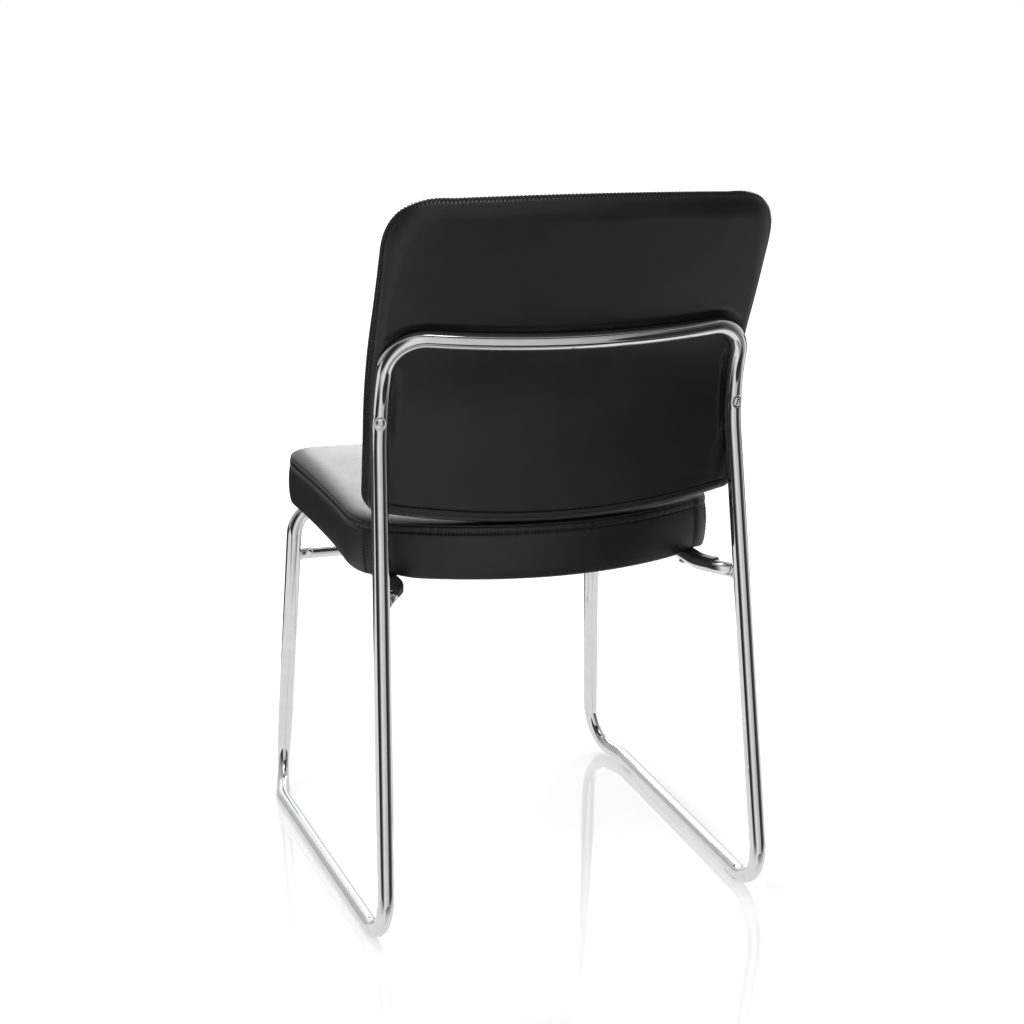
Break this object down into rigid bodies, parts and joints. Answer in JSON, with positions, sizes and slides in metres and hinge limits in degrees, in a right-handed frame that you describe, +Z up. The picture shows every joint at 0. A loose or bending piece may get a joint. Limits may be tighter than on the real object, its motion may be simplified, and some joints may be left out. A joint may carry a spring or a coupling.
{
  "type": "sled base visitor chair",
  "caption": "Armless sled base visitor chair: a bent chrome tube frame carries a padded seat and a bowed, reclined back in stitched black faux leather.",
  "frame": {"origin": "on the floor, under the middle of the chair's overall width and depth", "axes": "+Z up, -Y toward the front of the seat, +X to the sitter's left"},
  "size_m": [0.4996, 0.5688, 0.8373],
  "materials": {
    "chrome": "bright plated, polished",
    "leather": "fine grained black faux leather with a satin sheen",
    "plastic": "moulded black",
    "nylon": "natural nylon",
    "zinc": "zinc plated",
    "dust_cloth": "thin spunbond cloth",
    "plywood": "raw plywood",
    "foam": "open cell polyurethane foam"
  },
  "bodies": {
    "root": {"left_frame_tube": "chrome", "left_seat_rail": "chrome", "left_front_glide": "nylon", "left_rear_glide": "nylon", "left_front_saddle": "plastic", "left_rear_saddle": "plastic", "left_front_seat_screw": "zinc", "left_rear_seat_screw": "zinc", "left_front_seat_tee_nut": "zinc", "left_rear_seat_tee_nut": "zinc", "left_back_screw": "chrome", "left_back_tee_nut": "zinc", "right_frame_tube": "chrome", "right_seat_rail": "chrome", "right_front_glide": "nylon", "right_rear_glide": "nylon", "right_front_saddle": "plastic", "right_rear_saddle": "plastic", "right_front_seat_screw": "zinc", "right_rear_seat_screw": "zinc", "right_front_seat_tee_nut": "zinc", "right_rear_seat_tee_nut": "zinc", "right_back_screw": "chrome", "right_back_tee_nut": "zinc", "front_brace": "chrome", "seat_underside_cloth": "dust_cloth", "seat_board": "plywood", "seat_foam": "foam", "seat_cover": "leather", "back_rear_cover": "leather", "back_board": "plywood", "back_foam": "foam", "back_front_cover": "leather"}
  },
  "joints": []
}
